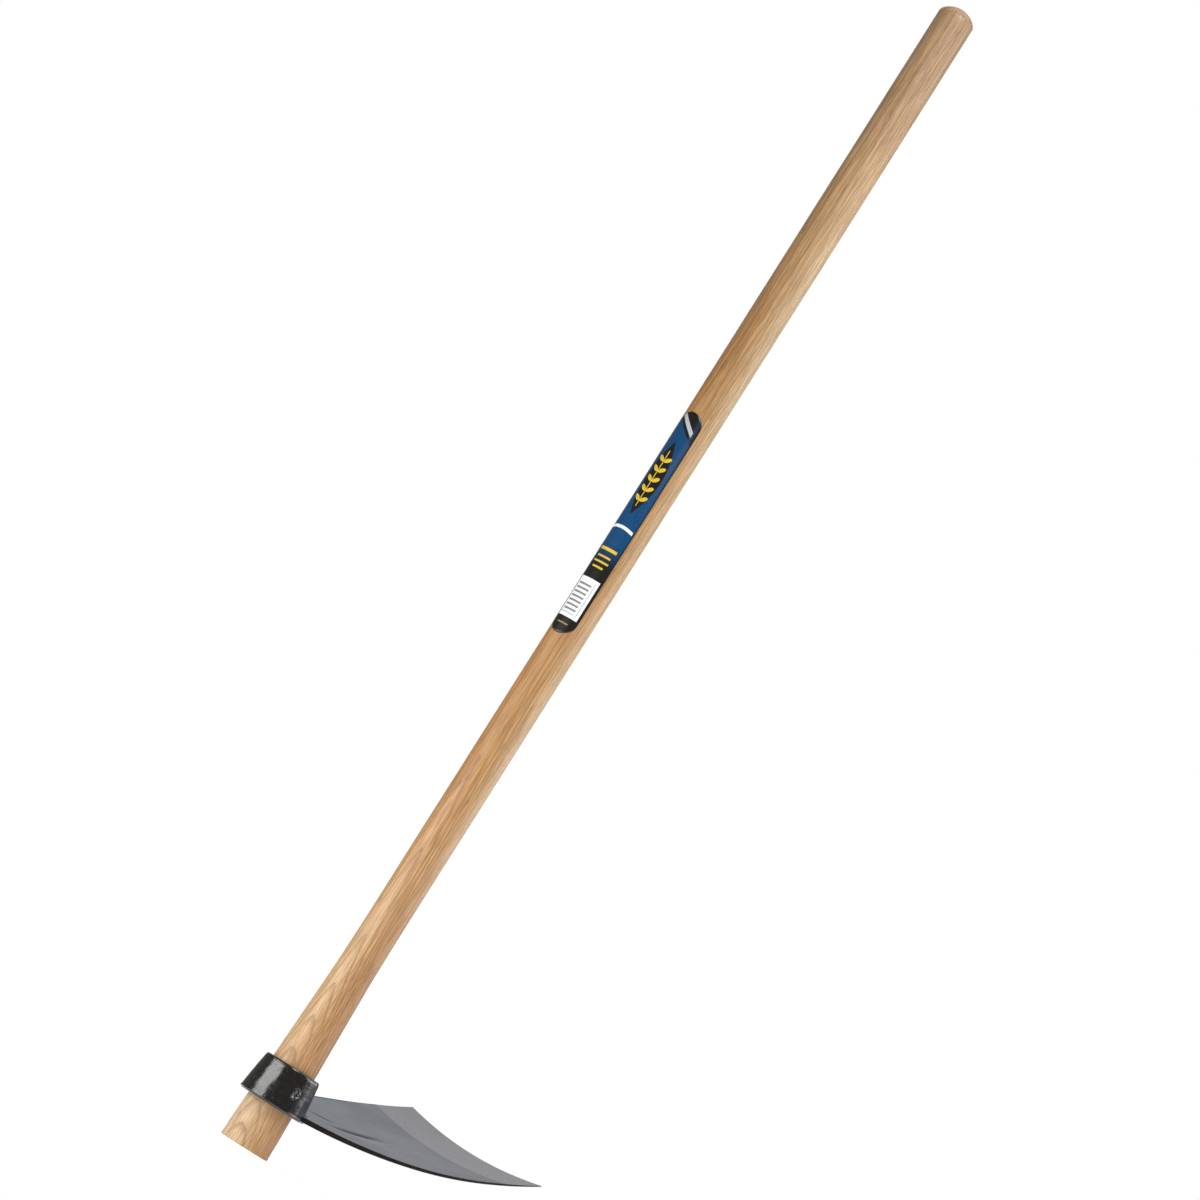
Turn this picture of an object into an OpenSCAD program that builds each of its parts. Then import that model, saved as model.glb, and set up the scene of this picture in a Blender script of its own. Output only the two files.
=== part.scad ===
// Draw hoe of the eye pattern: an ash handle with a flared foot, a forged tapered eye that jams on the
// flare, a dished blade welded to the eye, a locking screw and a printed label.
// The origin is the centre of the handle's foot. +Z runs up the handle and +X runs along the blade.

/* [Handle] */
// Length of the handle from foot to crown
handle_len = 1220; // [1160:10:1500]
// Diameter of the handle at its foot
foot_d = 48.6; // [47:0.2:50]
// Diameter of the straight shaft
shaft_d = 35; // [34:0.5:35.5]
// Diameter of the grip, at the top of the handle
grip_d = 35.5; // [35:0.5:40]
// Height of the flared part of the foot
flare_h = 180; // [170:5:220]
// Length of the straight grip below the crown
grip_len = 200; // [150:10:220]
// Height of the rounded crown
crown_h = 11; // [8:1:16]

/* [Eye] */
// Height of the eye's lower rim above the foot
eye_z = 44.5; // [40:0.5:50]
// Height of the eye
eye_h = 39; // [36:1:44]
// Outer diameter of the eye at its lower rim
eye_low_d = 65; // [64:0.2:68]
// Outer diameter of the eye at its upper rim
eye_top_d = 55.2; // [54:0.2:60]
// Rounding of the eye's rims
eye_round = 2.2; // [1:0.1:3]

/* [Blade] */
// Width of the blade across its corners
blade_w = 203; // [180:1:220]
// Distance from the handle's axis to the cutting edge
blade_reach = 240; // [238:1:280]
// Width of the blade where it leaves the eye
neck_w = 56; // [50:1:60]
// Distance from the handle's axis to the end of the shoulders
shoulder_reach = 192; // [160:2:192]
// Thickness of the blade at the eye
neck_t = 5; // [4:0.25:6]
// Thickness of the blade at the heel of the ground bevel
plate_t = 2.2; // [1.8:0.1:3]
// Thickness at the cutting edge
edge_t = 0.8; // [0.6:0.1:1.2]
// Width of the ground bevel behind the cutting edge
bevel_w = 42; // [30:0.5:46]
// Height of the pressed rib that stiffens the neck
rib_h = 1.8; // [0:0.1:2.5]

/* [Fittings] */
// Diameter of the locking screw's head
screw_head_d = 9; // [8:0.5:10]
// Diameter of the locking screw's shank
screw_d = 4; // [3.5:0.25:5]
// Length of the locking screw under its head
screw_len = 28; // [20:1:30]
// Radius of the weld bead on the blade's face
upper_bead_r = 2.2; // [1.5:0.1:3]
// Radius of the weld bead under the blade, beside the eye's lower rim
lower_bead_r = 1.3; // [0.8:0.1:1.4]

/* [Label] */
// Height of the label's lower end above the foot
label_z = 538; // [300:1:650]
// Length of the label
label_len = 235; // [150:1:240]
// Angle that the label covers around the shaft
label_arc = 94; // [60:1:150]
// Direction that the label faces, measured from the blade
label_dir = 193; // [150:1:210]
// Thickness of the label
label_t = 0.15; // [0.1:0.05:0.3]

/* [Hidden] */
$fn = 96;

WOOD = [0.80, 0.62, 0.42];
BLACK_PAINT = [0.09, 0.09, 0.09];
STEEL = [0.52, 0.53, 0.55];
ZINC = [0.62, 0.61, 0.58];
LABEL_BLUE = [0.03, 0.14, 0.31];

shaft_r = shaft_d / 2;
grip_r = grip_d / 2;
foot_r = foot_d / 2;
foot_chamfer = 1.5;
flare_end_r = 18.1;
blend_h = 60;
blend_steps = 6;
crown_steps = 12;
swell_gap = 20;
swell_z = label_z + label_len + swell_gap;
crown_z = handle_len - crown_h;
grip_z = crown_z - grip_len;
crown_power = 1.7;

// Centre line of the blade's face: an arc that leaves the eye almost square to the handle.
neck_x = 33;
neck_lift = 6.8;
neck_z = eye_z + neck_lift;
neck_slope = 0.054;
camber_r = 490;
dish_r = 616;
shoulder_power = 3.42;
root_x = 22;
rib_end = 175;
rib_half_w = 13;
taper_power = 1.5;
heel_row = 36;
rows = 44;
cols = 32;

// Direction and height of the locking screw, and its countersink.
screw_dir = -102;
screw_z = eye_z + eye_h / 2;
screw_head_h = 3.2;
screw_rim_h = 0.4;
screw_crown_h = 1.1;
screw_point_h = 5;
screw_point_r = 0.3;
slot_w = 1.2;
slot_depth = 1.0;

// The weld beads reach this far to each side of the blade's middle, as an angle around the eye.
bead_reach = 46;
bead_sides = 10;
bead_steps = 28;

// Radius of the handle's straight flare at height z.
function flare_r(z) = foot_r + (flare_end_r - foot_r) * z / flare_h;
function smooth(t) = t * t * (3 - 2 * t);

// Outer radius of the eye at height z.
function eye_r(z) = (eye_low_d + (eye_top_d - eye_low_d) * (z - eye_z) / eye_h) / 2;

// Half the blade's width at distance x from the handle's axis.
function half_width(x) =
    x >= shoulder_reach ? blade_w / 2 :
    let (t = (shoulder_reach - max(x, neck_x)) / (shoulder_reach - neck_x))
    neck_w / 2 + (blade_w - neck_w) / 2 * (1 - pow(t, shoulder_power));

// Height of the face at any point of the blade, without its rib.
function line_z(x) = let (d = x - neck_x) neck_z + neck_slope * d + d * d / (2 * camber_r);
function face_z(x, y) = line_z(x) + y * y / (2 * dish_r);

// Thickness of the plate before grinding: it thins from the neck to the bevel's heel.
heel_x = blade_reach - bevel_w;
function plain_t(x) =
    x > heel_x ? plate_t :
    plate_t + (neck_t - plate_t) * pow((heel_x - x) / (heel_x - root_x), taper_power);

// Depth that the bevel takes off the face.
function ground(x) = x > heel_x ? (plate_t - edge_t) * (x - heel_x) / bevel_w : 0;

// The pressed rib fades out along the blade and to both sides.
function rib(x, y) =
    x >= rib_end || abs(y) >= rib_half_w ? 0 :
    rib_h * smooth((rib_end - x) / (rib_end - root_x)) * pow(cos(90 * y / rib_half_w), 2);

function top_z(x, y) = face_z(x, y) + rib(x, y) - ground(x);
function under_z(x, y) = face_z(x, y) - plain_t(x);

// Outline of the handle, from the middle of the foot to the middle of the crown.
function handle_outline() = concat(
    [[0, 0], [foot_r - foot_chamfer, 0], [flare_r(foot_chamfer), foot_chamfer], [flare_end_r, flare_h]],
    [for (i = [1:blend_steps]) let (t = i / blend_steps)
        [flare_end_r + (shaft_r - flare_end_r) * sin(90 * t), flare_h + blend_h * t]],
    [[shaft_r, swell_z], [grip_r, grip_z], [grip_r, crown_z]],
    [for (i = [1:crown_steps - 1]) let (t = i / crown_steps)
        [grip_r * pow(1 - pow(t, crown_power), 1 / crown_power), crown_z + crown_h * t]],
    [[0, handle_len]]
);

module handle() {
    color(WOOD)
        difference() {
            rotate_extrude() polygon(handle_outline());
            screw_axis() screw_blank();
        }
}

// Outside of the eye, as a solid with rounded rims.
module eye_body() {
    low_r = eye_low_d / 2;
    top_r = eye_top_d / 2;
    arc = [for (i = [0:4]) 90 * i / 4];
    rotate_extrude()
        polygon(concat(
            [[0, eye_z]],
            [for (a = arc) [low_r - eye_round * (1 - sin(a)), eye_z + eye_round * (1 - cos(a))]],
            [for (a = arc) [top_r - eye_round * (1 - cos(a)), eye_z + eye_h - eye_round * (1 - sin(a))]],
            [[0, eye_z + eye_h]]
        ));
}

module eye() {
    through = 4;
    low = eye_z - through;
    top = eye_z + eye_h + through;
    color(BLACK_PAINT)
        difference() {
            eye_body();
            translate([0, 0, low]) cylinder(r1 = flare_r(low), r2 = flare_r(top), h = top - low);
            screw_axis() screw_blank();
        }
}

// The blade is a grid of points, row by row from the eye to the cutting edge. One row is on the heel.
function blade_x(i) = i <= heel_row ?
    root_x + (heel_x - root_x) * i / heel_row :
    heel_x + bevel_w * (i - heel_row) / (rows - heel_row);
function blade_row(x, top) = [
    for (j = [0:cols]) let (y = half_width(x) * (2 * j / cols - 1)) [x, y, top ? top_z(x, y) : under_z(x, y)]
];

module blade_plate() {
    n = cols + 1;
    layer = (rows + 1) * n;
    points = [
        for (top = [true, false]) for (i = [0:rows]) for (p = blade_row(blade_x(i), top)) p
    ];
    upper = [for (i = [0:rows - 1]) for (j = [0:cols - 1])
        [i * n + j, i * n + j + 1, (i + 1) * n + j + 1, (i + 1) * n + j]];
    lower = [for (f = upper) [layer + f[3], layer + f[2], layer + f[1], layer + f[0]]];
    sides = [for (i = [0:rows - 1]) for (j = [0, cols]) let (
            a = i * n + j, b = (i + 1) * n + j, q = [a, b, layer + b, layer + a])
        j == 0 ? q : [q[3], q[2], q[1], q[0]]];
    ends = [for (j = [0:cols - 1]) for (i = [0, rows]) let (
            a = i * n + j, q = [a + 1, a, layer + a, layer + a + 1])
        i == 0 ? q : [q[3], q[2], q[1], q[0]]];
    polyhedron(points, concat(upper, lower, sides, ends), convexity = 6);
}

module blade() {
    color(STEEL)
        difference() {
            blade_plate();
            eye_body();
        }
}

// Point on the eye's wall in direction a where the blade's face, or its underside, meets it.
function seam_point(a, top) =
    let (
        r = eye_r(neck_z),
        x = r * cos(a),
        y = r * sin(a),
        z = top ? top_z(x, y) : under_z(x, y),
        wall = eye_r(max(z, eye_z))
    ) [wall * cos(a), wall * sin(a), z];

// A round bead laid along the seam, later cut back to the two faces that it joins.
module bead(top, bead_r) {
    n = bead_sides;
    angles = [for (i = [0:bead_steps]) bead_reach * (2 * i / bead_steps - 1)];
    points = [for (a = angles) for (k = [0:n - 1])
        let (b = 360 * k / n) seam_point(a, top) + bead_r * [cos(b) * cos(a), cos(b) * sin(a), sin(b)]];
    wall = [for (i = [0:bead_steps - 1]) for (k = [0:n - 1]) let (l = (k + 1) % n)
        [i * n + k, i * n + l, (i + 1) * n + l, (i + 1) * n + k]];
    caps = [[for (k = [0:n - 1]) n - 1 - k], [for (k = [0:n - 1]) bead_steps * n + k]];
    polyhedron(points, concat(wall, caps), convexity = 6);
}

module upper_weld() {
    color(BLACK_PAINT)
        difference() {
            bead(true, upper_bead_r);
            eye_body();
            blade_plate();
        }
}

module lower_weld() {
    color(BLACK_PAINT)
        difference() {
            bead(false, lower_bead_r);
            eye_body();
            blade_plate();
        }
}

// Places its children on the locking screw's axis, with +Z pointing out of the eye and 0 on the wall.
module screw_axis() {
    rotate([0, 0, screw_dir]) translate([eye_r(screw_z), 0, screw_z]) rotate([0, 90, 0]) children();
}

// The screw before its slot is cut: a point, a shank, a countersunk head and a low crown. The eye and
// the handle are cut to the same shape.
module screw_blank() {
    head_r = screw_head_d / 2;
    rotate_extrude()
        polygon(concat(
            [[0, -screw_len], [screw_point_r, -screw_len], [screw_d / 2, screw_point_h - screw_len]],
            [[screw_d / 2, -screw_head_h], [head_r, -screw_rim_h]],
            [for (a = [0:15:90]) [head_r * cos(a), screw_crown_h * sin(a)]]
        ));
}

module locking_screw() {
    color(ZINC)
        screw_axis()
            difference() {
                screw_blank();
                translate([0, 0, screw_crown_h]) cube([screw_head_d, slot_w, 2 * slot_depth], center = true);
            }
}

// A film around part of the shaft, with half-round ends.
module label() {
    outer = shaft_r + label_t;
    end_r = outer * sin(label_arc / 2);
    color(LABEL_BLUE)
        intersection() {
            translate([0, 0, label_z])
                difference() {
                    cylinder(r = outer, h = label_len);
                    translate([0, 0, -1]) cylinder(r = shaft_r, h = label_len + 2);
                }
            rotate([0, 0, label_dir])
                rotate([90, 0, 90])
                    linear_extrude(2 * outer) {
                        translate([-end_r, label_z + end_r]) square([2 * end_r, label_len - 2 * end_r]);
                        for (z = [label_z + end_r, label_z + label_len - end_r])
                            translate([0, z]) circle(r = end_r);
                    }
        }
}

handle();
eye();
blade();
upper_weld();
lower_weld();
locking_screw();
label();
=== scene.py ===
"""Looks of a draw hoe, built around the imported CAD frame.

Everything is in metres, in the frame of the record: the origin is the centre of the handle's foot, +Z runs
up the handle and +X runs out along the blade.
"""

import math

import bmesh
import bpy
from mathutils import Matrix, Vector, noise


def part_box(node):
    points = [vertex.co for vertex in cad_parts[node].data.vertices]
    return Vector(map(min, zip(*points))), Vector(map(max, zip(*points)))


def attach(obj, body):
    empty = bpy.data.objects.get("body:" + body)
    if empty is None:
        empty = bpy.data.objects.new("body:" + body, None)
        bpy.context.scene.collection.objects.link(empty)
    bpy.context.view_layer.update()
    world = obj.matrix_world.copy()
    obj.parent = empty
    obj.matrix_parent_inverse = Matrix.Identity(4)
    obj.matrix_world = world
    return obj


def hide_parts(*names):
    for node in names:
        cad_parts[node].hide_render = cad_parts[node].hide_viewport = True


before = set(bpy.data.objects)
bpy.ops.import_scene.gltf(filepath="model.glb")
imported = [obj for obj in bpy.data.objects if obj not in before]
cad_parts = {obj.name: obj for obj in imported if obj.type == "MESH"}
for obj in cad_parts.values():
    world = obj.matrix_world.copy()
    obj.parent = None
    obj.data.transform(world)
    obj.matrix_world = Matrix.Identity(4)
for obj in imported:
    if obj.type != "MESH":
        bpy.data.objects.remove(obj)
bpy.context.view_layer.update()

MM = 0.001

# ---- Sizes: from the frame where it has them, and otherwise as part.scad gives them ----

HANDLE_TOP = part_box("handle")[1].z
FOOT_R = 24.3 * MM
FOOT_CHAMFER = 1.5 * MM
FLARE_H = 180 * MM
FLARE_END_R = 18.1 * MM
BLEND_H = 60 * MM
SHAFT_R = 17.5 * MM
GRIP_R = 17.75 * MM
GRIP_LEN = 200 * MM
CROWN_H = 11 * MM
CROWN_POWER = 1.7
CROWN_Z = HANDLE_TOP - CROWN_H
GRIP_Z = CROWN_Z - GRIP_LEN

LABEL_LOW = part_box("label")[0].z
LABEL_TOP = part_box("label")[1].z
LABEL_DIR = math.radians(193)
LABEL_HALF_ARC = math.radians(47)
LABEL_T = 0.15 * MM
SWELL_Z = LABEL_TOP + 20 * MM

EYE_LOW_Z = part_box("eye")[0].z
EYE_TOP_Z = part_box("eye")[1].z
EYE_LOW_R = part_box("eye")[1].x
EYE_TOP_R = 27.6 * MM
EYE_ROUND = 2.2 * MM

SCREW_DIR = math.radians(-102)
SCREW_Z = (EYE_LOW_Z + EYE_TOP_Z) / 2
SCREW_HEAD_R = 4.5 * MM

BLADE_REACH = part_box("blade")[1].x
BLADE_HALF_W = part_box("blade")[1].y
NECK_HALF_W = 28 * MM
NECK_X = 33 * MM
NECK_Z = EYE_LOW_Z + 6.8 * MM
NECK_SLOPE = 0.054
NECK_T = 5 * MM
ROOT_X = 22 * MM
SHOULDER_X = 192 * MM
SHOULDER_POWER = 3.42
CAMBER_R = 490 * MM
DISH_R = 616 * MM
PLATE_T = 2.2 * MM
EDGE_T = 0.8 * MM
BEVEL_W = 42 * MM
HEEL_X = BLADE_REACH - BEVEL_W
TAPER_POWER = 1.5
RIB_H = 1.8 * MM
RIB_END = 175 * MM
RIB_HALF_W = 13 * MM
BEAD_REACH = math.radians(46)
UPPER_BEAD_R = 2.2 * MM
LOWER_BEAD_R = 1.3 * MM


# ---- Camera ----

def make_camera():
    """A long lens close above the floor that looks slightly up, rolled so that the handle leans right."""
    yaw, pitch, roll = (math.radians(a) for a in (41.33, 6.0, 32.28))
    distance, lens, sensor, clip_end = 5.107, 170, 36, 50
    aim_aside, aim_height = 8.1 * MM, 584.8 * MM
    ahead = Vector((math.sin(yaw) * math.cos(pitch), math.cos(yaw) * math.cos(pitch), math.sin(pitch)))
    level_right = Vector((math.cos(yaw), -math.sin(yaw), 0))
    level_up = level_right.cross(ahead)
    right = math.cos(roll) * level_right + math.sin(roll) * level_up
    up = math.cos(roll) * level_up - math.sin(roll) * level_right
    target = aim_aside * level_right + Vector((0, 0, aim_height))
    data = bpy.data.cameras.new("camera")
    data.sensor_width, data.lens, data.clip_end = sensor, lens, clip_end
    camera = bpy.data.objects.new("camera", data)
    bpy.context.scene.collection.objects.link(camera)
    matrix = camera.matrix_world.to_3x3()
    matrix.col[0], matrix.col[1], matrix.col[2] = right, up, -ahead
    camera.matrix_world = matrix.to_4x4()
    camera.location = target - distance * ahead
    bpy.context.scene.camera = camera


# ---- Meshes ----

def piece_from(name, verts, faces, materials, sharp=35):
    """A mesh object with smooth faces and edges that are sharp past an angle in degrees."""
    mesh = bpy.data.meshes.new(name)
    mesh.from_pydata(verts, [], faces)
    bm = bmesh.new()
    bm.from_mesh(mesh)
    bmesh.ops.recalc_face_normals(bm, faces=bm.faces)
    bm.to_mesh(mesh)
    bm.free()
    mesh.shade_smooth()
    mesh.set_sharp_from_angle(angle=math.radians(sharp))
    for material in materials:
        mesh.materials.append(material)
    obj = bpy.data.objects.new(name, mesh)
    bpy.context.scene.collection.objects.link(obj)
    return obj


def loop_faces(n_rows, n, wrap_rows=False):
    """Quads between rows of n points, where each row is a closed loop."""
    rows = n_rows if wrap_rows else n_rows - 1
    return [
        (i * n + j, i * n + (j + 1) % n, (i + 1) % n_rows * n + (j + 1) % n, (i + 1) % n_rows * n + j)
        for i in range(rows)
        for j in range(n)
    ]


def polar(radius, angle, z):
    """The point at a radius and an angle round the handle's axis, at a height."""
    return Vector((radius * math.cos(angle), radius * math.sin(angle), z))


def spread(low, high, steps):
    """steps + 1 even values from low to high."""
    return [low + (high - low) * i / steps for i in range(steps + 1)]


def smooth(t):
    """A soft step from 0 to 1 as t goes from 0 to 1."""
    return t * t * (3 - 2 * t)


# ---- Handle ----

def flare_r(z):
    """Radius of the straight flare at the foot, which is also the radius of the eye's bore."""
    return FOOT_R + (FLARE_END_R - FOOT_R) * z / FLARE_H


def handle_r(z):
    """Radius of the handle: a flare, a soft blend into the shaft, a slight swell to the grip and a crown."""
    if z < FLARE_H:
        return flare_r(z)
    if z < FLARE_H + BLEND_H:
        return FLARE_END_R + (SHAFT_R - FLARE_END_R) * math.sin(math.pi / 2 * (z - FLARE_H) / BLEND_H)
    if z < SWELL_Z:
        return SHAFT_R
    if z < GRIP_Z:
        return SHAFT_R + (GRIP_R - SHAFT_R) * (z - SWELL_Z) / (GRIP_Z - SWELL_Z)
    if z < CROWN_Z:
        return GRIP_R
    part = min((z - CROWN_Z) / CROWN_H, 1)
    return GRIP_R * (1 - part ** CROWN_POWER) ** (1 / CROWN_POWER)


def make_handle(wood):
    """A turned shaft. Its surface strays by less than a tenth of a millimetre, as sanding leaves it, but not
    where the eye holds it."""
    sides, chamfer_rows, shaft_rows, crown_rows = 112, 5, 300, 16
    shaft_z, crown_start, crown_stop = 2.5 * MM, 0.06, math.pi / 2 * 0.985
    sanding, waves_round, waves_up, clear_of_eye = 0.09 * MM, 2.2, 22, 2 * MM
    foot = [(FOOT_R - FOOT_CHAMFER * (1 - math.sin(a)), FOOT_CHAMFER * (1 - math.cos(a)))
            for a in spread(0, math.pi / 2, chamfer_rows)]
    shaft = [(handle_r(z), z) for z in spread(shaft_z, CROWN_Z, shaft_rows)]
    crown = [(handle_r(z), z) for z in
             (CROWN_Z + CROWN_H * math.sin(a) for a in spread(crown_start, crown_stop, crown_rows))]
    outline = foot + shaft + crown
    verts = []
    for radius, z in outline:
        in_eye = EYE_LOW_Z - clear_of_eye < z < EYE_TOP_Z + clear_of_eye
        for k in range(sides):
            angle = 2 * math.pi * k / sides
            stray = noise.noise(polar(waves_round, angle, z * waves_up))
            verts.append(polar(radius + (0 if in_eye else sanding * stray), angle, z))
    faces = loop_faces(len(outline), sides)
    faces.append(tuple(range(sides)))
    faces.append(tuple((len(outline) - 1) * sides + k for k in range(sides)))
    return piece_from("ash_handle", verts, faces, [wood], sharp=50)


# ---- Eye ----

def eye_r(z):
    """Radius of the eye's tapered outside."""
    return EYE_LOW_R + (EYE_TOP_R - EYE_LOW_R) * (z - EYE_LOW_Z) / (EYE_TOP_Z - EYE_LOW_Z)


# The uneven wall of the forging: how far each size of lump stands out, how many there are in a metre and
# where its noise starts.
FORGING = (
    (0.24 * MM, 75, Vector((0, 0, 0))),
    (0.08 * MM, 210, Vector((3, 1, 7))),
    (0.02 * MM, 620, Vector((5, 9, 2))),
)


def forging(point):
    """How far a forged and painted wall stands out at a point."""
    return sum(height * noise.noise(point * lumps + start) for height, lumps, start in FORGING)


def screw_seat(point):
    """The wall dips around the locking screw's head."""
    depth, margin = 0.7 * MM, 1.5 * MM
    centre = polar(eye_r(SCREW_Z), SCREW_DIR, SCREW_Z)
    away = (point - centre).length
    fade = 1 - min(max((away - SCREW_HEAD_R) / margin, 0), 1)
    return -depth * smooth(fade)


def make_eye(paint):
    """The forged ring. Its profile runs once round the section, as radius, height and how uneven it is."""
    sides, arc_rows, wall_rows = 220, 6, 40
    lip, rim_fade, lip_uneven, wall_inset = 0.8 * MM, 0.6, 0.2, 1.3 * EYE_ROUND
    arc = [(math.sin(a), math.cos(a)) for a in spread(0, math.pi / 2, arc_rows)]
    low = [(EYE_LOW_R - EYE_ROUND * (1 - sin), EYE_LOW_Z + EYE_ROUND * (1 - cos), 1 - rim_fade * (1 - sin))
           for sin, cos in arc]
    wall = [(eye_r(z), z, 1) for z in spread(EYE_LOW_Z + wall_inset, EYE_TOP_Z - wall_inset, wall_rows)]
    top = [(EYE_TOP_R - EYE_ROUND * (1 - cos), EYE_TOP_Z - EYE_ROUND * (1 - sin), 1 - rim_fade * sin)
           for sin, cos in arc]
    bore = [(flare_r(EYE_TOP_Z) + lip, EYE_TOP_Z, lip_uneven), (flare_r(EYE_TOP_Z - lip), EYE_TOP_Z - lip, 0),
            (flare_r(EYE_LOW_Z + lip), EYE_LOW_Z + lip, 0), (flare_r(EYE_LOW_Z) + lip, EYE_LOW_Z, lip_uneven)]
    profile = low + wall + top + bore
    verts = []
    for radius, z, uneven in profile:
        for k in range(sides):
            angle = 2 * math.pi * k / sides
            point = polar(radius, angle, z)
            verts.append(polar(radius + uneven * (forging(point) + screw_seat(point)), angle, z))
    return piece_from("forged_eye", verts, loop_faces(len(profile), sides, wrap_rows=True), [paint], sharp=40)


# ---- Blade ----

def half_width(x):
    """Half the blade's width. At the root it closes in, so that its corners end inside the eye's wall."""
    if x >= SHOULDER_X:
        return BLADE_HALF_W
    t = (SHOULDER_X - max(x, NECK_X)) / (SHOULDER_X - NECK_X)
    wide = NECK_HALF_W + (BLADE_HALF_W - NECK_HALF_W) * (1 - t ** SHOULDER_POWER)
    tuck, tuck_x = 6.5 * MM, 37 * MM
    if x < tuck_x:
        wide -= tuck * ((tuck_x - x) / (tuck_x - ROOT_X)) ** 2
    return wide


def line_z(x):
    """Height of the face along the middle of the blade, which is cambered."""
    return NECK_Z + NECK_SLOPE * (x - NECK_X) + (x - NECK_X) ** 2 / (2 * CAMBER_R)


def face_z(x, y):
    """Height of the dished face, without its rib, folds and bevel."""
    return line_z(x) + y * y / (2 * DISH_R)


def plate_t(x):
    if x > HEEL_X:
        return PLATE_T
    return PLATE_T + (NECK_T - PLATE_T) * ((HEEL_X - x) / (HEEL_X - ROOT_X)) ** TAPER_POWER


def rib(x, y):
    """How far the pressed neck rib stands out of the face."""
    if x >= RIB_END or abs(y) >= RIB_HALF_W:
        return 0
    return RIB_H * smooth((RIB_END - x) / (RIB_END - ROOT_X)) * math.cos(math.pi / 2 * y / RIB_HALF_W) ** 2


# Each fold pressed beside the rib: where it starts and ends, its width and its depth.
FOLDS = (
    ((66 * MM, 14 * MM), (148 * MM, 11 * MM), 4.8 * MM, 1.9 * MM),
    ((78 * MM, 54 * MM), (104 * MM, 30 * MM), 3.0 * MM, 0.8 * MM),
    ((56 * MM, -50 * MM), (106 * MM, -57 * MM), 3.0 * MM, 0.6 * MM),
)


def line_between(start, end):
    """The length of the line between two points and the unit vector along it."""
    length = math.dist(start, end)
    return length, (end[0] - start[0]) / length, (end[1] - start[1]) / length


def folds(x, y):
    """How far the folds press the face down at a point."""
    reach, end_power = 3, 0.8
    total = 0
    for start, end, width, depth in FOLDS:
        length, ux, uy = line_between(start, end)
        dx, dy = x - start[0], y - start[1]
        along = (dx * ux + dy * uy) / length
        across = (dy * ux - dx * uy) / width
        if 0 < along < 1 and abs(across) < reach:
            total -= depth * math.sin(math.pi * along) ** end_power * math.exp(-across * across)
    return total


def ground(x):
    """How much the bevel has taken off the face."""
    return (PLATE_T - EDGE_T) * (x - HEEL_X) / BEVEL_W if x > HEEL_X else 0


def top_z(x, y):
    wave_h, waves, layer = 0.12 * MM, 22, 4.0
    wave = wave_h * noise.noise(Vector((x * waves, y * waves, layer)))
    return face_z(x, y) + rib(x, y) + folds(x, y) - ground(x) + wave


def under_z(x, y):
    return face_z(x, y) - plate_t(x)


def make_blade(steel, bevel, paint):
    """Each row of points runs once round the blade's section: the face, a rounded side, the underside
    and the other side. The sides and the underside are painted, up to a few millimetres from the edge."""
    cols, side, side_bulge = 110, 3, 0.22
    heel_row, bare_row, rows = 150, 184, 190
    xs = spread(ROOT_X, HEEL_X, heel_row) + spread(HEEL_X, BLADE_REACH, rows - heel_row)[1:]
    ring = 2 * (cols + 1) + 2 * side
    verts = []
    for x in xs:
        half = half_width(x)
        ys = spread(-half, half, cols)
        verts += [Vector((x, y, top_z(x, y))) for y in ys]
        for sign in (1, -1):
            high, low = top_z(x, half * sign), under_z(x, half * sign)
            parts = [(k + 1) / (side + 1) for k in range(side)]
            points = [Vector((x, (half + side_bulge * (high - low) * math.sin(math.pi * part)) * sign,
                              high + (low - high) * part)) for part in parts]
            verts += points if sign > 0 else points[::-1]
            if sign > 0:
                verts += [Vector((x, y, under_z(x, y))) for y in reversed(ys)]
    faces = loop_faces(len(xs), ring)
    for row in (0, len(xs) - 1):
        base = row * ring
        under = base + 2 * cols + 1 + side
        faces += [(base + j, base + j + 1, under - j - 1, under - j) for j in range(cols)]
        faces.append(tuple(range(base + cols, base + cols + side + 2)))
        faces.append((base,) + tuple(base + ring - 1 - k for k in range(side)) + (under,))
    blade = piece_from("hoe_blade", verts, faces, [steel, bevel, paint], sharp=28)
    for index, polygon in enumerate(blade.data.polygons):
        if index >= (len(xs) - 1) * ring:
            polygon.material_index = 1
            continue
        row, col = divmod(index, ring)
        on_face = col < cols
        if on_face and row >= heel_row:
            polygon.material_index = 1
        elif not on_face and row < bare_row:
            polygon.material_index = 2
    return blade


# ---- Weld beads ----

def make_bead(name, height, bead_r, paint):
    """A rippled bead along the seam between the eye's wall and the blade, tapered at both ends."""
    steps, sides = 150, 16
    ripples, ripple_h, unevenness, lumps = 23, 0.09, 1.3, 90
    taper, least = 3.2, 0.0004
    wall_at_neck = eye_r(NECK_Z)
    verts = []
    for part in spread(-1, 1, steps):
        angle = BEAD_REACH * part
        seam_z = height(wall_at_neck * math.cos(angle), wall_at_neck * math.sin(angle))
        centre = polar(eye_r(max(seam_z, EYE_LOW_Z)), angle, seam_z)
        turn = math.pi * ripples * part + unevenness * noise.noise(centre * lumps)
        size = bead_r * (1 + ripple_h * math.sin(turn)) * min(1, taper * math.sqrt(max(1 - abs(part), least)))
        for k in range(sides):
            round_bead = 2 * math.pi * k / sides
            verts.append(centre + polar(size * math.cos(round_bead), angle, size * math.sin(round_bead)))
    faces = loop_faces(steps + 1, sides)
    faces.append(tuple(range(sides)))
    faces.append(tuple(steps * sides + k for k in range(sides)))
    return piece_from(name, verts, faces, [paint], sharp=70)


# ---- Label ----

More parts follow.
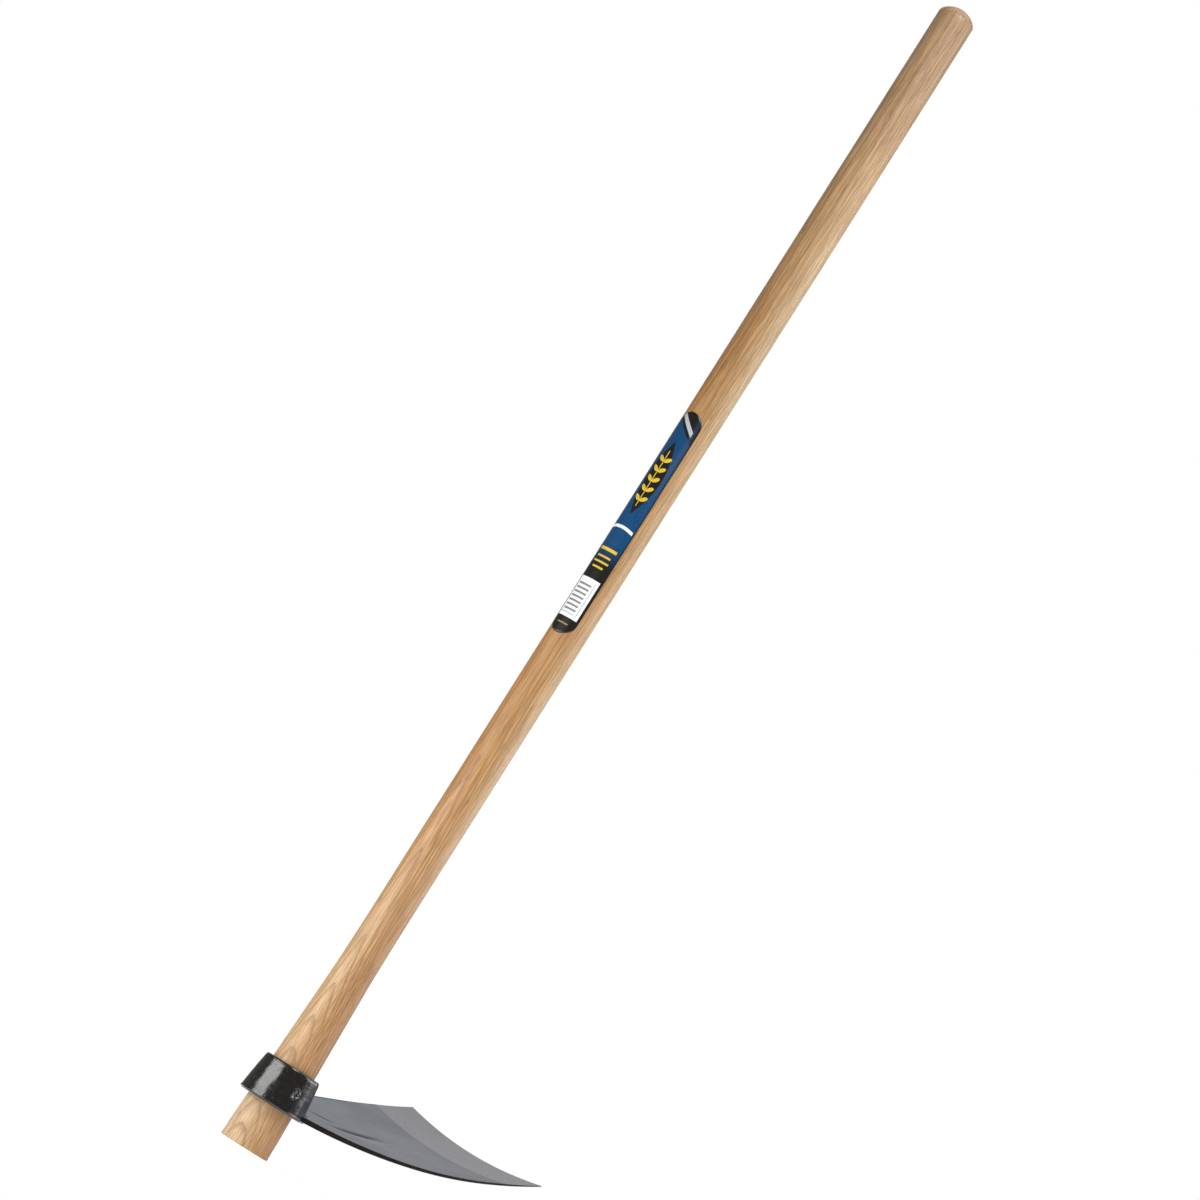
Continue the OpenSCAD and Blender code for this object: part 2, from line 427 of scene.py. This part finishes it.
def make_label(print_material):
    """A film with half-round ends, wrapped round part of the shaft."""
    cols, rows = 56, 110
    outer = SHAFT_R + LABEL_T
    end_r = outer * math.sin(LABEL_HALF_ARC)
    verts = []
    for angle in spread(-LABEL_HALF_ARC, LABEL_HALF_ARC, cols):
        across = outer * math.sin(angle)
        cap = end_r - math.sqrt(max(end_r ** 2 - across ** 2, 0))
        for z in spread(LABEL_LOW + cap, LABEL_TOP - cap, rows):
            verts.append(polar(outer, LABEL_DIR + angle, z))
    n = rows + 1
    faces = [(i * n + j, i * n + j + 1, (i + 1) * n + j + 1, (i + 1) * n + j)
             for i in range(cols) for j in range(rows)]
    label = piece_from("shaft_label", verts, faces, [print_material], sharp=60)
    film = label.modifiers.new("film", "SOLIDIFY")
    film.thickness = 0.11 * MM
    film.offset = -1
    return label


# ---- Materials ----

class Nodes:
    """A short way to write a material's node tree. Most methods add nodes and return an output socket."""

    def __init__(self, name):
        self.material = bpy.data.materials.new(name)
        self.material.use_nodes = True
        self.tree = self.material.node_tree
        self.shader = self.tree.nodes["Principled BSDF"]

    def put(self, socket, value):
        if isinstance(value, bpy.types.NodeSocket):
            self.tree.links.new(value, socket)
        else:
            socket.default_value = value

    def point(self):
        return self.tree.nodes.new("ShaderNodeTexCoord").outputs["Object"]

    def math(self, operation, a, b=0.0, clamp=False):
        node = self.tree.nodes.new("ShaderNodeMath")
        node.operation = operation
        node.use_clamp = clamp
        self.put(node.inputs[0], a)
        self.put(node.inputs[1], b)
        return node.outputs[0]

    def vector(self, operation, a, b):
        node = self.tree.nodes.new("ShaderNodeVectorMath")
        node.operation = operation
        self.put(node.inputs[0], a)
        self.put(node.inputs[1], b)
        return node.outputs["Value" if operation == "LENGTH" else "Vector"]

    def split(self, vector):
        node = self.tree.nodes.new("ShaderNodeSeparateXYZ")
        self.put(node.inputs[0], vector)
        return node.outputs

    def join(self, x, y, z):
        node = self.tree.nodes.new("ShaderNodeCombineXYZ")
        for socket, value in zip(node.inputs, (x, y, z)):
            self.put(socket, value)
        return node.outputs[0]

    def noise(self, vector, scale=1.0, detail=2.0, rough=0.5):
        node = self.tree.nodes.new("ShaderNodeTexNoise")
        self.put(node.inputs["Vector"], vector)
        self.put(node.inputs["Scale"], scale)
        self.put(node.inputs["Detail"], detail)
        self.put(node.inputs["Roughness"], rough)
        return node.outputs["Fac"]

    def ramp(self, value, stops):
        node = self.tree.nodes.new("ShaderNodeValToRGB")
        self.put(node.inputs[0], value)
        points = node.color_ramp.elements
        points[0].position, points[-1].position = stops[0][0], stops[-1][0]
        for place, _ in stops[1:-1]:
            points.new(place)
        for point, (_, colour) in zip(points, stops):
            point.color = (*colour, 1) if isinstance(colour, tuple) else (colour, colour, colour, 1)
        return node.outputs["Color"]

    def range(self, value, low, high, to_low=0.0, to_high=1.0):
        node = self.tree.nodes.new("ShaderNodeMapRange")
        for socket, item in zip(node.inputs, (value, low, high, to_low, to_high)):
            self.put(socket, item)
        return node.outputs[0]

    def product(self, first, *others):
        for other in others:
            first = self.math("MULTIPLY", first, other)
        return first

    def band(self, value, low, high, soft):
        """1 where a value is between low and high, with soft ends."""
        rise = self.range(value, low - soft, low + soft)
        return self.product(rise, self.range(value, high - soft, high + soft, 1.0, 0.0))

    def grain(self, point, per_metre, **options):
        """Noise stretched to its own number of waves in a metre along each axis."""
        return self.noise(self.vector("MULTIPLY", point, per_metre), **options)

    def mix(self, factor, a, b, blend="MIX"):
        node = self.tree.nodes.new("ShaderNodeMix")
        node.data_type = "RGBA"
        node.blend_type = blend
        self.put(node.inputs["Factor"], factor)
        self.put(node.inputs["A"], (*a, 1) if isinstance(a, tuple) else a)
        self.put(node.inputs["B"], (*b, 1) if isinstance(b, tuple) else b)
        return node.outputs["Result"]

    def tint(self, base, where, strength, colour):
        """The base colour, with another one laid over it where a mask is 1."""
        return self.mix(self.product(where, strength), base, colour)

    def bump(self, height, strength, distance):
        """The relief of the whole surface, with its depth in metres."""
        node = self.tree.nodes.new("ShaderNodeBump")
        node.inputs["Strength"].default_value = strength
        node.inputs["Distance"].default_value = distance
        self.put(node.inputs["Height"], height)
        self.put(self.shader.inputs["Normal"], node.outputs[0])

    def finish(self, **values):
        """Set the shader's inputs by name and return the finished material."""
        for name, value in values.items():
            self.put(self.shader.inputs[name.replace("_", " ").title().replace("Ior", "IOR")], value)
        return self.material


def wood_depth(n, point, x, y, z):
    """How far a point was from the tree's pith, which the shaft leans towards, and less so higher up."""
    pith_dir, pith_away = math.radians(200), 62 * MM
    tilt, tilt_fade = 0.042, 0.34
    drift_h, waver_h = 4.6 * MM, 1.1 * MM
    pith = polar(-pith_away, pith_dir, 0)
    away = n.vector("LENGTH", n.vector("SUBTRACT", n.join(x, y, 0.0), pith), (0, 0, 0))
    climb = n.math("SUBTRACT", 1.0, n.math("EXPONENT", n.math("DIVIDE", z, -tilt_fade)))
    depth = n.math("SUBTRACT", away, n.product(climb, tilt * tilt_fade))
    depth = n.math("ADD", depth, n.product(n.grain(point, (24, 24, 3.2)), drift_h))
    return n.math("ADD", depth, n.product(n.grain(point, (110, 110, 9)), waver_h))


def wood_tone_and_painted_light(n, x, y, z):
    """Where the wood's colour is multiplied, and by what. Round the shaft the masks paint light and shade: a
    lit left side at the foot and low down, a shaded right side low down and near the top, and in the middle
    a shaded left side and a painted sheen on the right. Along the shaft the bands make the wood paler or
    darker with height.
    """
    left_light_and_shade = n.range(n.math("ADD", n.product(x, -57.0), n.product(y, -8.0)), -0.4, 0.8)
    right = n.range(n.math("ADD", n.product(x, 20.0), n.product(y, -54.0)), -0.1, 0.9)
    foot = n.range(z, 0.040, 0.055, 1.0, 0.0)
    low = n.range(z, 0.18, 0.32, 1.0, 0.0)
    middle = n.product(n.range(z, 0.24, 0.38), n.range(z, 0.85, 1.10, 1.0, 0.0))
    # Entries with a side mask are painted light and shade; the others only change the tone with height.
    return (
        (n.product(middle, left_light_and_shade), (0.86, 0.72, 0.52)),
        (n.product(middle, right), (1.10, 1.26, 1.48)),
        (n.product(low, left_light_and_shade), (1.04, 1.12, 1.20)),
        (n.product(low, right), (0.79, 0.67, 0.52)),
        (n.product(foot, left_light_and_shade), (1.08, 1.16, 1.32)),
        (low, (1.01, 1.02, 1.04)),
        (n.range(z, 0.62, 0.90), (1.00, 1.10, 1.22)),
        (n.range(z, 1.04, 1.14), (0.90, 0.88, 0.87)),
        (n.product(n.range(z, 1.04, 1.17), right), (0.80, 0.78, 0.80)),
        (n.range(z, CROWN_Z, HANDLE_TOP), (0.84, 0.80, 0.78)),
    )


def ash_wood():
    """Growth rings that make long arches near the foot, with dark open pores in each ring's early wood."""
    ring_w, early_part, years = 1.9 * MM, 0.34, 170.0
    ring_tones = [(0.0, (0.23, 0.108, 0.039)), (0.12, (0.31, 0.156, 0.062)),
                  (early_part, (0.495, 0.292, 0.136)), (0.80, (0.530, 0.325, 0.160)),
                  (1.0, (0.46, 0.265, 0.120))]
    dark_year, pale_patch = (0.44, 0.235, 0.095), (0.56, 0.37, 0.215)
    dark_streak, dark_fibre = (0.36, 0.195, 0.080), (0.26, 0.135, 0.053)
    dark_pore, dark_fleck = (0.14, 0.066, 0.026), (0.19, 0.095, 0.040)
    n = Nodes("ash_wood")
    point = n.point()
    x, y, z = n.split(point)
    depth = wood_depth(n, point, x, y, z)
    ring = n.math("FRACT", n.math("DIVIDE", depth, ring_w))
    early = n.range(ring, 0.0, early_part, 1.0, 0.0)
    year = n.noise(n.join(n.product(depth, years), 0.0, 0.0), detail=1)
    patches = n.grain(point, (36, 36, 4), detail=3)
    streaks = n.grain(point, (330, 330, 7))
    fibre = n.grain(point, (1000, 1000, 30), detail=3, rough=0.65)
    pores = n.grain(point, (2300, 2300, 95), detail=1)
    open_pore = n.math("MULTIPLY", n.range(pores, 0.58, 0.68), n.math("ADD", early, 0.12), clamp=True)
    flecks = n.grain(n.vector("ADD", point, (3.1, 1.7, 0.4)), (170, 170, 42), detail=3)
    tone = n.ramp(ring, ring_tones)
    tone = n.mix(n.range(year, 0.35, 0.65, 0.0, 0.35), tone, dark_year)
    tone = n.mix(n.range(patches, 0.40, 0.62, 0.0, 0.34), tone, pale_patch)
    tone = n.mix(n.range(streaks, 0.40, 0.60, 0.34, 0.0), tone, dark_streak)
    tone = n.mix(n.range(fibre, 0.42, 0.57, 0.72, 0.0), tone, dark_fibre)
    tone = n.tint(tone, open_pore, 0.85, dark_pore)
    tone = n.mix(n.range(flecks, 0.66, 0.74, 0.0, 0.55), tone, dark_fleck)
    # Painted light and shade on the shaft's sides, and tone that changes with height, multiplied in.
    for where, shade in wood_tone_and_painted_light(n, x, y, z):
        tone = n.mix(where, tone, n.mix(1.0, tone, shade, "MULTIPLY"))
    rough = n.math("ADD", n.range(fibre, 0.3, 0.7, 0.55, 0.45), n.product(open_pore, 0.2))
    n.bump(n.math("SUBTRACT", n.product(fibre, 0.35), open_pore), 0.35, 0.12 * MM)
    return n.finish(base_color=tone, roughness=rough, coat_weight=0.08, coat_roughness=0.30)


def black_paint(name, dullness, gloss):
    """Thick paint over forging scale, with a few chips. Its roughness rises with dullness."""
    thin, thick, chip = (0.0050, 0.0042, 0.0036), (0.0105, 0.0090, 0.0082), (0.105, 0.098, 0.09)
    n = Nodes(name)
    point = n.point()
    lumps = n.noise(point, scale=330, detail=4, rough=0.55)
    grit = n.noise(point, scale=1500)
    chipped = n.range(n.noise(point, scale=240, detail=5, rough=0.65), 0.665, 0.70)
    tone = n.mix(n.range(lumps, 0.35, 0.65), thin, thick)
    tone = n.tint(tone, chipped, 0.75, chip)
    rough = n.range(lumps, 0.3, 0.7, dullness, dullness + 0.10)
    rough = n.math("ADD", rough, n.product(chipped, 0.25))
    n.bump(n.math("ADD", lumps, n.product(grit, 0.16)), 0.35, 0.5 * MM)
    return n.finish(base_color=tone, roughness=rough, specular_ior_level=gloss)


def fold_shade_and_highlight(n, x, y, cloud, tone):
    """Painted shade in each fold, stronger in the deeper ones, and a painted highlight in a strip beside it.
    """
    fold_shade_tone, fold_highlight_tone, wander = (0.030, 0.032, 0.050), (0.385, 0.395, 0.430), 1.4
    for start, end, width, depth in FOLDS:
        strength = min(1, depth / MM)
        length, ux, uy = line_between(start, end)
        dx, dy = n.math("SUBTRACT", x, start[0]), n.math("SUBTRACT", y, start[1])
        along = n.math("ADD", n.product(dx, ux / length), n.product(dy, uy / length))
        across = n.math("SUBTRACT", n.product(dy, ux / width), n.product(dx, uy / width))
        strayed = n.math("ADD", across, n.product(n.math("SUBTRACT", cloud, 0.5), wander))
        # Painted shade along the fold.
        near = n.range(n.math("ABSOLUTE", strayed), 0.6, 1.9, 1.0, 0.0)
        ends = n.product(n.range(along, 0.0, 0.55), n.range(along, 0.80, 1.05, 1.0, 0.0))
        tone = n.tint(tone, n.product(near, ends), 0.92 * strength, fold_shade_tone)
        # A painted highlight in a strip beside the fold.
        beside = n.product(n.range(across, -0.9, -1.8), n.range(across, -4.6, -2.6))
        ends = n.product(n.range(along, -0.30, 0.05), n.range(along, 1.0, 0.55))
        tone = n.tint(tone, n.product(beside, ends), 0.45 * strength, fold_highlight_tone)
    return tone


def paint_strip(n, x, y, spots):
    """Where the side's paint has run over onto the face: widest near the eye, with a ragged border."""
    widest, narrowest, raggedness = 2.4 * MM, 0.7 * MM, 1.6 * MM
    closing = n.math("POWER", n.range(x, SHOULDER_X, NECK_X), SHOULDER_POWER)
    half = n.math("SUBTRACT", BLADE_HALF_W, n.product(closing, BLADE_HALF_W - NECK_HALF_W))
    margin = n.math("SUBTRACT", half, n.math("ABSOLUTE", y))
    margin = n.math("ADD", margin, n.product(n.math("SUBTRACT", spots, 0.5), raggedness))
    strip_w = n.range(x, 140 * MM, SHOULDER_X, widest, narrowest)
    inside = n.math("SUBTRACT", 1.0, n.math("DIVIDE", margin, strip_w), clamp=True)
    return n.range(inside, 0.0, 0.35)


def satin_steel():
    """Pressed and lacquered sheet: fine rolling lines along the blade, and faint violet and blue tints
    towards the neck.
    """
    dark, pale, line_tone = (0.205, 0.217, 0.245), (0.270, 0.279, 0.302), (0.150, 0.155, 0.168)
    violet, blue, black = (0.285, 0.262, 0.300), (0.185, 0.225, 0.255), (0.012, 0.011, 0.012)
    n = Nodes("blade_steel")
    point = n.point()
    x, y, _ = n.split(point)
    lines = n.grain(point, (26, 1500, 900), detail=3, rough=0.6)
    cloud = n.noise(point, scale=26, detail=4, rough=0.55)
    spots = n.noise(point, scale=420, detail=3)
    near_neck = n.product(n.range(y, 0.0, -85 * MM), n.range(x, 210 * MM, 80 * MM))
    far_neck = n.product(n.range(y, -20 * MM, 70 * MM), n.range(x, 190 * MM, 70 * MM))
    tone = n.mix(n.range(cloud, 0.40, 0.60), dark, pale)
    tone = n.mix(n.range(lines, 0.30, 0.70, 0.22, 0.0), tone, line_tone)
    tone = n.tint(tone, near_neck, 0.30, violet)
    tone = n.tint(tone, far_neck, 0.35, blue)
    # Painted shade in the folds and painted highlights beside them.
    tone = fold_shade_and_highlight(n, x, y, cloud, tone)
    tone = n.mix(paint_strip(n, x, y, spots), tone, black)
    rough = n.math("ADD", n.range(cloud, 0.3, 0.7, 0.38, 0.45), n.range(lines, 0.3, 0.7, 0.05, -0.03))
    n.bump(n.math("ADD", n.product(lines, 0.5), n.product(spots, 0.5)), 0.16, 0.1 * MM)
    return n.finish(base_color=tone, metallic=1.0, roughness=rough)


def ground_steel():
    """The bevel, with grinding marks that run out to the cutting edge and a dark line along its heel."""
    dark, pale = (0.270, 0.272, 0.284), (0.405, 0.402, 0.416)
    haze, heel = (0.370, 0.350, 0.365), (0.090, 0.092, 0.100)
    n = Nodes("bevel_steel")
    point = n.point()
    x, _, _ = n.split(point)
    marks = n.grain(point, (45, 2100, 700), detail=3, rough=0.65)
    cloud = n.noise(point, scale=34, detail=3)
    tone = n.mix(n.range(marks, 0.30, 0.70), dark, pale)
    tone = n.mix(n.range(cloud, 0.4, 0.6, 0.0, 0.22), tone, haze)
    tone = n.mix(n.range(x, HEEL_X, HEEL_X + 1.6 * MM, 0.55, 0.0), tone, heel)
    n.bump(marks, 0.22, 0.12 * MM)
    return n.finish(base_color=tone, metallic=1.0, roughness=n.range(marks, 0.3, 0.7, 0.50, 0.38))


def weld_paint():
    """The same gloss paint over the beads, where it pools thicker."""
    thin, thick = (0.008, 0.0072, 0.0068), (0.020, 0.018, 0.017)
    n = Nodes("weld_paint")
    point = n.point()
    pool = n.noise(point, scale=520, detail=3)
    spatter = n.noise(point, scale=1900)
    tone = n.mix(n.range(pool, 0.35, 0.65), thin, thick)
    rough = n.range(pool, 0.3, 0.7, 0.18, 0.34)
    n.bump(n.math("ADD", pool, n.product(spatter, 0.3)), 0.5, 0.4 * MM)
    return n.finish(base_color=tone, roughness=rough, specular_ior_level=0.6)


def chipped_screw():
    """A plated screw whose paint has partly come off."""
    painted, plated = (0.010, 0.009, 0.008), (0.34, 0.32, 0.31)
    n = Nodes("screw_steel")
    paint = n.noise(n.point(), scale=700, detail=5, rough=0.6)
    bare = n.range(paint, 0.55, 0.63)
    n.bump(paint, 0.5, 0.3 * MM)
    return n.finish(base_color=n.mix(bare, painted, plated), metallic=n.product(bare, 0.9),
                    roughness=n.range(bare, 0.0, 1.0, 0.24, 0.36))


def leaf_sprig(n, side, across, middle):
    """Pairs of leaves that lean up and out from a stem, in mm. Middle is the height above its middle."""
    pitch, half_h, soft = 10.4, 26.0, 0.25
    leaf_out, leaf_up, lean = 3.6, 4.4, math.radians(40)
    half_l, half_w = 3.9, 1.9
    step = n.math("FRACT", n.math("DIVIDE", n.math("ADD", middle, half_h), pitch))
    out = n.math("SUBTRACT", side, leaf_out)
    up = n.math("SUBTRACT", n.product(step, pitch), leaf_up)
    lengthwise = n.math("ADD", n.product(out, math.cos(lean)), n.product(up, math.sin(lean)))
    sideways = n.math("SUBTRACT", n.product(up, math.cos(lean)), n.product(out, math.sin(lean)))
    lengthwise, sideways = n.math("DIVIDE", lengthwise, half_l), n.math("DIVIDE", sideways, half_w)
    oval = n.math("ADD", n.product(lengthwise, lengthwise), n.product(sideways, sideways))
    leaves = n.product(n.range(oval, 0.92, 1.08, 1.0, 0.0), n.band(middle, -half_h, half_h, soft))
    stem = n.product(n.band(across, -0.45, 0.45, 0.15), n.band(middle, -30, 29, soft))
    return n.math("MAXIMUM", leaves, stem)


def label_print():
    """A plain navy label with black ends: a leaf sprig, plain gold lines and a patch of even bars. Across
    is the distance round the shaft from the label's middle, and along is the height, both in mm."""
    navy, light_navy, sheen_navy = (0.0015, 0.042, 0.125), (0.002, 0.056, 0.160), (0.030, 0.065, 0.130)
    black, gold, dull_gold = (0.007, 0.006, 0.005), (0.62, 0.42, 0.030), (0.30, 0.22, 0.06)
    white, silver = (0.78, 0.78, 0.80), (0.42, 0.43, 0.45)
    grey, ink = (0.30, 0.30, 0.31), (0.060, 0.058, 0.062)
    soft = 0.25
    n = Nodes("label_film")
    x, y, z = n.split(n.point())
    cos, sin = math.cos(LABEL_DIR), math.sin(LABEL_DIR)
    facing = n.math("ADD", n.product(x, cos), n.product(y, sin))
    beside = n.math("SUBTRACT", n.product(y, cos), n.product(x, sin))
    across = n.product(n.math("ARCTAN2", beside, facing), SHAFT_R / MM)
    along = n.product(n.math("SUBTRACT", z, LABEL_LOW), 1 / MM)
    side = n.math("ABSOLUTE", across)
    mottle = n.noise(n.point(), scale=900)

    def within(value, limit, fade):
        return n.range(value, limit, limit + fade, 1.0, 0.0)

    # The navy field fades into the black foot and is cut off on a slant at the top.
    slant = n.math("SUBTRACT", along, n.product(across, -0.85))
    field = n.product(n.range(along, 72, 96), within(slant, 216.5, 1.0), within(side, 13.0, 0.3))
    tone = n.mix(field, black, n.mix(mottle, navy, light_navy))
    # A paler navy patch beside the black panel is a painted sheen.
    tone = n.mix(n.product(n.band(along, 150, 216, 30), n.band(across, 8.5, 12.0, 1.5)), tone, sheen_navy)

    # A black pointed panel with the sprig on it.
    middle = n.math("SUBTRACT", along, 164.5)
    bow = n.math("SUBTRACT", 9.0, n.product(middle, middle, 0.0060))
    tone = n.mix(n.range(n.math("SUBTRACT", bow, side), -0.2, 0.2), tone, black)
    tone = n.mix(leaf_sprig(n, side, across, middle), tone, gold)

    # An arched white line, and gold lines below it.
    arch = n.math("ADD", along, n.product(across, across, 0.012))
    tone = n.mix(n.product(n.band(arch, 110.6, 113.6, soft), within(across, 12.0, 0.4)), tone, white)
    for low, high, reach in ((86.5, 89.5, 9.5), (79.5, 81.3, 7.5), (74.0, 75.8, 8.5), (68.5, 70.3, 6.0)):
        tone = n.mix(n.product(n.band(along, low, high, soft), within(side, reach, 0.4)), tone, gold)

    # A white patch with even bars, and one line beside them.
    tone = n.mix(n.product(n.band(along, 16.5, 57.5, soft), within(side, 11.4, 0.3)), tone, white)
    printed = n.band(along, 20.0, 54.0, soft)
    bars = n.band(n.math("FRACT", n.math("DIVIDE", along, 4.4)), 0.25, 0.72, 0.05)
    tone = n.tint(tone, n.product(bars, printed, n.band(across, -9.0, 6.0, soft)), 0.80, ink)
    tone = n.mix(n.product(printed, n.band(across, 8.2, 8.9, soft)), tone, grey)

    # A silver stripe at the top, and one short line at the foot.
    tone = n.mix(n.product(n.band(slant, 221.0, 226.0, soft), within(side, 9.6, 0.4)), tone, silver)
    tone = n.mix(n.product(n.band(along, 9.6, 10.8, soft), within(side, 6.0, 0.4)), tone, dull_gold)
    n.bump(mottle, 0.05, 0.1 * MM)
    return n.finish(base_color=tone, roughness=n.range(mottle, 0.3, 0.7, 0.24, 0.32))


def pale_floor():
    """A matt white sheet that glows a little, so that it meets the white surroundings without a line."""
    glow, grey, white = 0.65, (0.80, 0.80, 0.80), (0.84, 0.84, 0.84)
    n = Nodes("pale_floor")
    n.shader.inputs["Emission Color"].default_value = (1, 1, 1, 1)
    tone = n.mix(n.noise(n.point(), scale=6), grey, white)
    return n.finish(base_color=tone, roughness=0.9, specular_ior_level=0.0, emission_strength=glow)


# ---- Studio ----

def make_floor():
    """A round pale floor, small enough that a level camera sees it as a line."""
    radius, sides = 1.5, 96
    verts = [polar(radius, 2 * math.pi * k / sides, 0) for k in range(sides)]
    piece_from("floor", verts, [tuple(range(sides))], [pale_floor()])


def make_light(name, direction, distance, height, size, radiance, aim_z, colour=(1, 1, 1)):
    """A soft box that stands in a direction, in degrees from +X, and faces a height on the handle's axis."""
    data = bpy.data.lights.new(name, "AREA")
    data.color = colour
    data.shape = "RECTANGLE"
    data.size, data.size_y = size
    data.energy = radiance * math.pi * size[0] * size[1]
    light = bpy.data.objects.new(name, data)
    light.location = polar(distance, math.radians(direction), height)
    aim = Vector((0, 0, aim_z)) - light.location
    light.rotation_euler = aim.to_track_quat("-Z", "Y").to_euler()
    light.visible_camera = False
    bpy.context.scene.collection.objects.link(light)


def make_lights():
    """Each soft box's direction, distance, height, size, radiance, the height it faces and its colour."""
    greenish, bluish = (0.965, 1.0, 0.975), (0.945, 0.975, 1.0)
    violet, pale_blue = (0.95, 0.96, 1.0), (0.97, 0.975, 1.0)
    make_light("left_box", 170, 0.85, 0.34, (0.74, 0.36), 7.3, 0.0, greenish)
    make_light("right_box", 318, 1.1, 1.10, (0.70, 1.50), 3.0, 0.9, bluish)
    make_light("low_right_box", 345, 0.9, 0.36, (0.80, 0.34), 2.4, 0.05, violet)
    make_light("front_box", 244, 1.3, 2.2, (0.9, 0.9), 15.0, 1.1)
    make_light("back_box", 48, 1.9, 1.3, (2.0, 1.2), 0.58, 0.1, pale_blue)
    make_light("top_box", 30, 0.6, 2.9, (1.6, 1.6), 1.4, 0.0)


def make_world():
    """White where the camera looks straight at it, and dimmer as a source of light."""
    seen_strength, glow_strength = 1.0, 0.20
    world = bpy.data.worlds.new("studio")
    bpy.context.scene.world = world
    world.use_nodes = True
    tree = world.node_tree
    seen = tree.nodes["Background"]
    glow = tree.nodes.new("ShaderNodeBackground")
    for background, strength in ((seen, seen_strength), (glow, glow_strength)):
        background.inputs["Color"].default_value = (1, 1, 1, 1)
        background.inputs["Strength"].default_value = strength
    path = tree.nodes.new("ShaderNodeLightPath")
    mix = tree.nodes.new("ShaderNodeMixShader")
    tree.links.new(path.outputs["Is Camera Ray"], mix.inputs[0])
    tree.links.new(glow.outputs[0], mix.inputs[1])
    tree.links.new(seen.outputs[0], mix.inputs[2])
    tree.links.new(mix.outputs[0], tree.nodes["World Output"].inputs["Surface"])


# ---- The object ----

def place(piece, slot, *nodes):
    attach(piece, "root")
    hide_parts(*nodes)


def build():
    bpy.context.scene.view_settings.view_transform = "Standard"
    make_camera()
    make_world()
    make_floor()
    make_lights()

    gloss_paint = black_paint("black_paint", 0.12, 0.62)
    dull_paint = black_paint("dull_black_paint", 0.48, 0.10)
    beads = weld_paint()
    place(make_handle(ash_wood()), "ash_wood", "handle")
    place(make_eye(gloss_paint), "black_paint", "eye")
    place(make_blade(satin_steel(), ground_steel(), dull_paint), "blade_steel", "blade")
    place(make_bead("upper_bead", top_z, UPPER_BEAD_R, beads), "weld_metal", "upper_weld")
    place(make_bead("lower_bead", under_z, LOWER_BEAD_R, beads), "weld_metal", "lower_weld")
    place(make_label(label_print()), "label_film", "label")
    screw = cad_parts["locking_screw"]
    screw.data.materials.clear()
    screw.data.materials.append(chipped_screw())


build()
